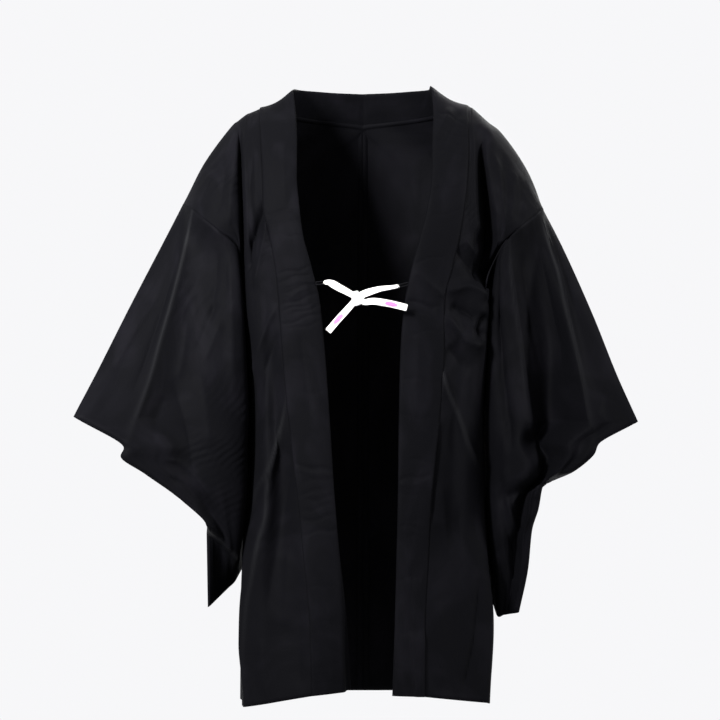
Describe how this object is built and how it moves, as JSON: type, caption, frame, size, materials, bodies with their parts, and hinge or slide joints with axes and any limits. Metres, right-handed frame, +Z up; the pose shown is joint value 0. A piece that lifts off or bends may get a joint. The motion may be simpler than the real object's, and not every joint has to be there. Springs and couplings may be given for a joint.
{
  "type": "haori jacket",
  "caption": "Black silk haori: open hip-length Japanese jacket with a folded collar band, hanging bag sleeves and a white tie knotted at the front, shaped as worn.",
  "frame": {"origin": "middle of the shoulder line, in the neck opening level with the top of the wearer's shoulders", "axes": "+Z up along the wearer's back, -Y out of the wearer's chest, +X to the wearer's left"},
  "size_m": [0.6932, 0.3303, 0.7809],
  "materials": {
    "body_silk": "black crepe silk with a faint tone-on-tone figure and a soft sheen",
    "collar_silk": "the same black silk, folded into a band",
    "loop_cord": "black silk cord",
    "tie_braid": "white flat braid"
  },
  "bodies": {
    "root": {"body_panel_left": "body_silk", "body_panel_right": "body_silk", "collar": "collar_silk", "gusset_left": "body_silk", "gusset_right": "body_silk", "sleeve_left": "body_silk", "sleeve_right": "body_silk", "loop_left": "loop_cord", "loop_right": "loop_cord", "tie_left": "tie_braid", "tie_right": "tie_braid", "tail_left": "tie_braid", "tail_right": "tie_braid", "knot": "tie_braid"}
  },
  "joints": []
}
